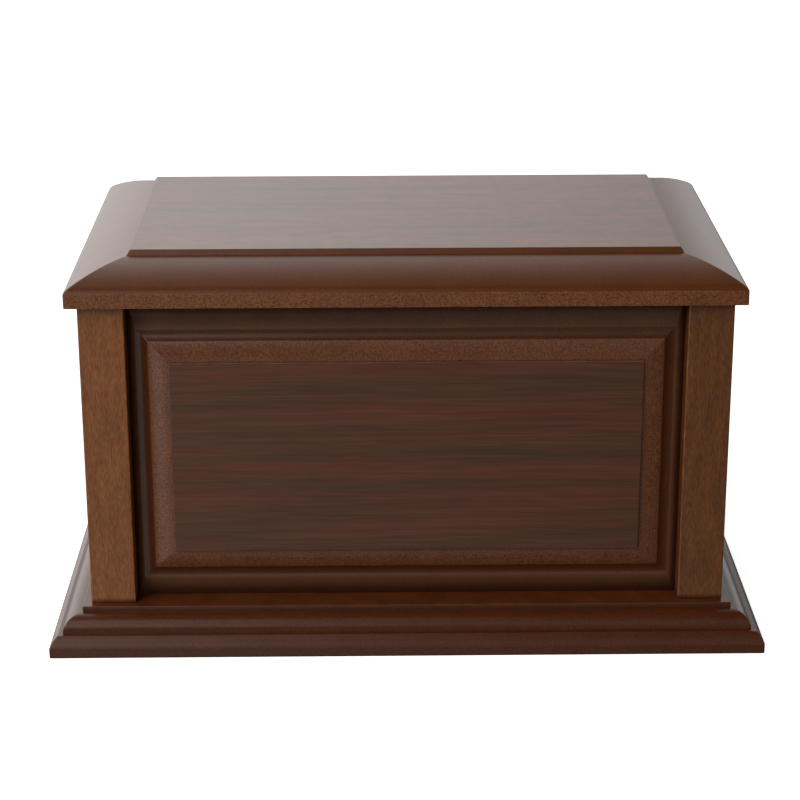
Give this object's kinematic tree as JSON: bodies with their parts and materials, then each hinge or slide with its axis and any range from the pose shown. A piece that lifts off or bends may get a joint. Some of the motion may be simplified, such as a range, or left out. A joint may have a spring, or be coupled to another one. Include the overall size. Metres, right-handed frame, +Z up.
{
  "type": "cremation urn box",
  "caption": "Rectangular wooden urn chest with square corner posts, recessed raised-field panels, a stepped moulded base board and a loose moulded lid.",
  "frame": {"origin": "centre of the underside of the base board, which is the plane it stands on", "axes": "+Z up, +X to the right along the long side, -Y towards the front, where the raised field faces"},
  "size_m": [0.3036, 0.2006, 0.169],
  "materials": {
    "lid_wood": "dark brown stain under satin lacquer, veneered field",
    "post_wood": "medium brown stain under satin lacquer",
    "panel_wood": "dark brown stain under satin lacquer, veneered field",
    "base_wood": "dark brown stain under satin lacquer"
  },
  "bodies": {
    "root": {"lid": "lid_wood", "post_front_left": "post_wood", "post_front_right": "post_wood", "post_back_left": "post_wood", "post_back_right": "post_wood", "panel_front": "panel_wood", "panel_back": "panel_wood", "panel_left": "panel_wood", "panel_right": "panel_wood", "base": "base_wood"}
  },
  "joints": []
}
